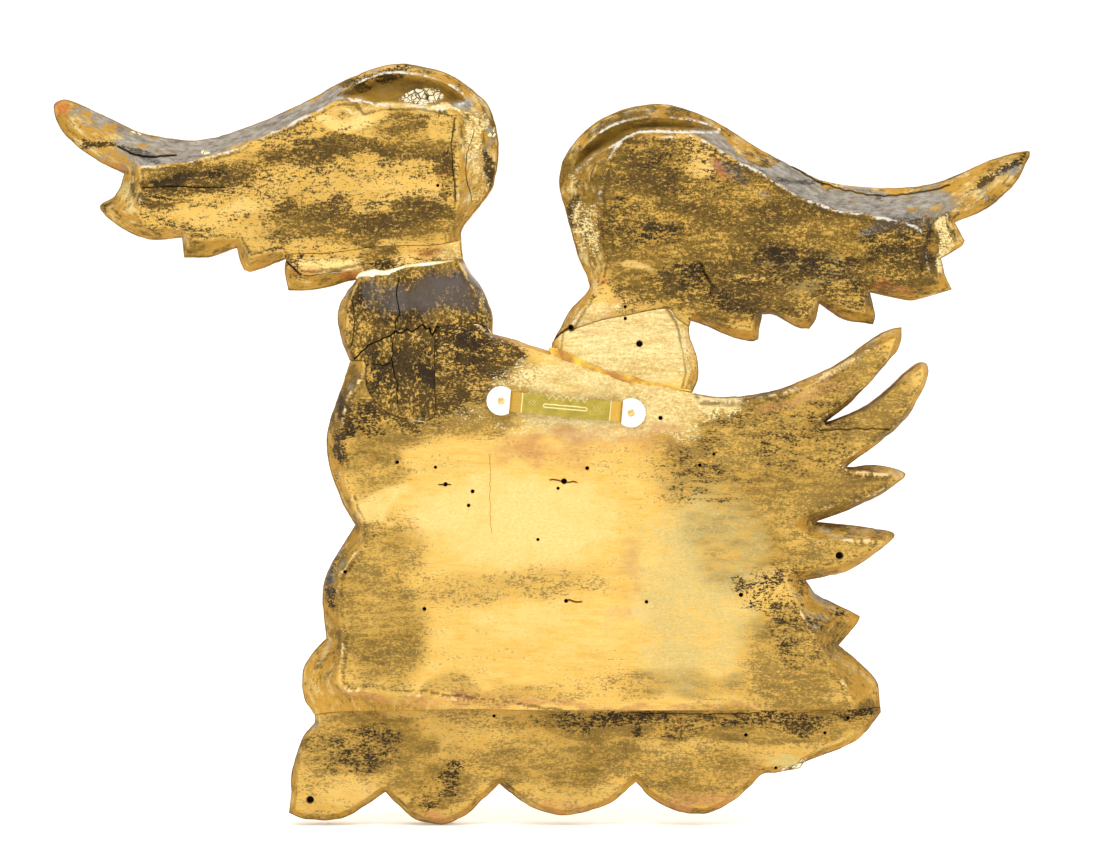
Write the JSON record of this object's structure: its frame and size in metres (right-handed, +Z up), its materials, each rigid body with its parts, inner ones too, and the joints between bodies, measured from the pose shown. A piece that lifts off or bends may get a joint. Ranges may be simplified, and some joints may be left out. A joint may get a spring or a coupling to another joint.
{
  "type": "eagle wall plaque",
  "caption": "Carved giltwood eagle with raised wings and a fanned tail on a billowed base, its flat worn back fitted with a toothed hanging strip.",
  "frame": {"origin": "the middle of the hanger strip, on the face that lies against the wall", "axes": "+Z up, +Y out of the back towards the wall, so the carved face looks along -Y and +X is the eagle's raised wing over its head"},
  "size_m": [0.5597, 0.064, 0.4362],
  "materials": {
    "ochre_wood": "bare carved wood with ochre ground and dark handling patina, gilded face",
    "gilt_wood": "worn gilding over red bole on carved wood, brown patina on the back",
    "umber_wood": "dark stained end block, dry and cracked",
    "cream_wood": "freshly scraped pale wood",
    "brass_sheet": "stamped thin sheet, slightly dull",
    "brass_nail": "domed nail heads",
    "white_plastic": "moulded, slightly glossy"
  },
  "bodies": {
    "root": {"main_panel": "ochre_wood", "lower_board": "ochre_wood", "neck_block": "umber_wood", "left_wing": "gilt_wood", "left_wing_strip": "gilt_wood", "right_wing": "gilt_wood", "right_shoulder_block": "cream_wood", "hanger_strip": "brass_sheet", "hanger_plate_left": "white_plastic", "hanger_plate_right": "white_plastic", "hanger_nail_left": "brass_nail", "hanger_nail_right": "brass_nail"}
  },
  "joints": []
}
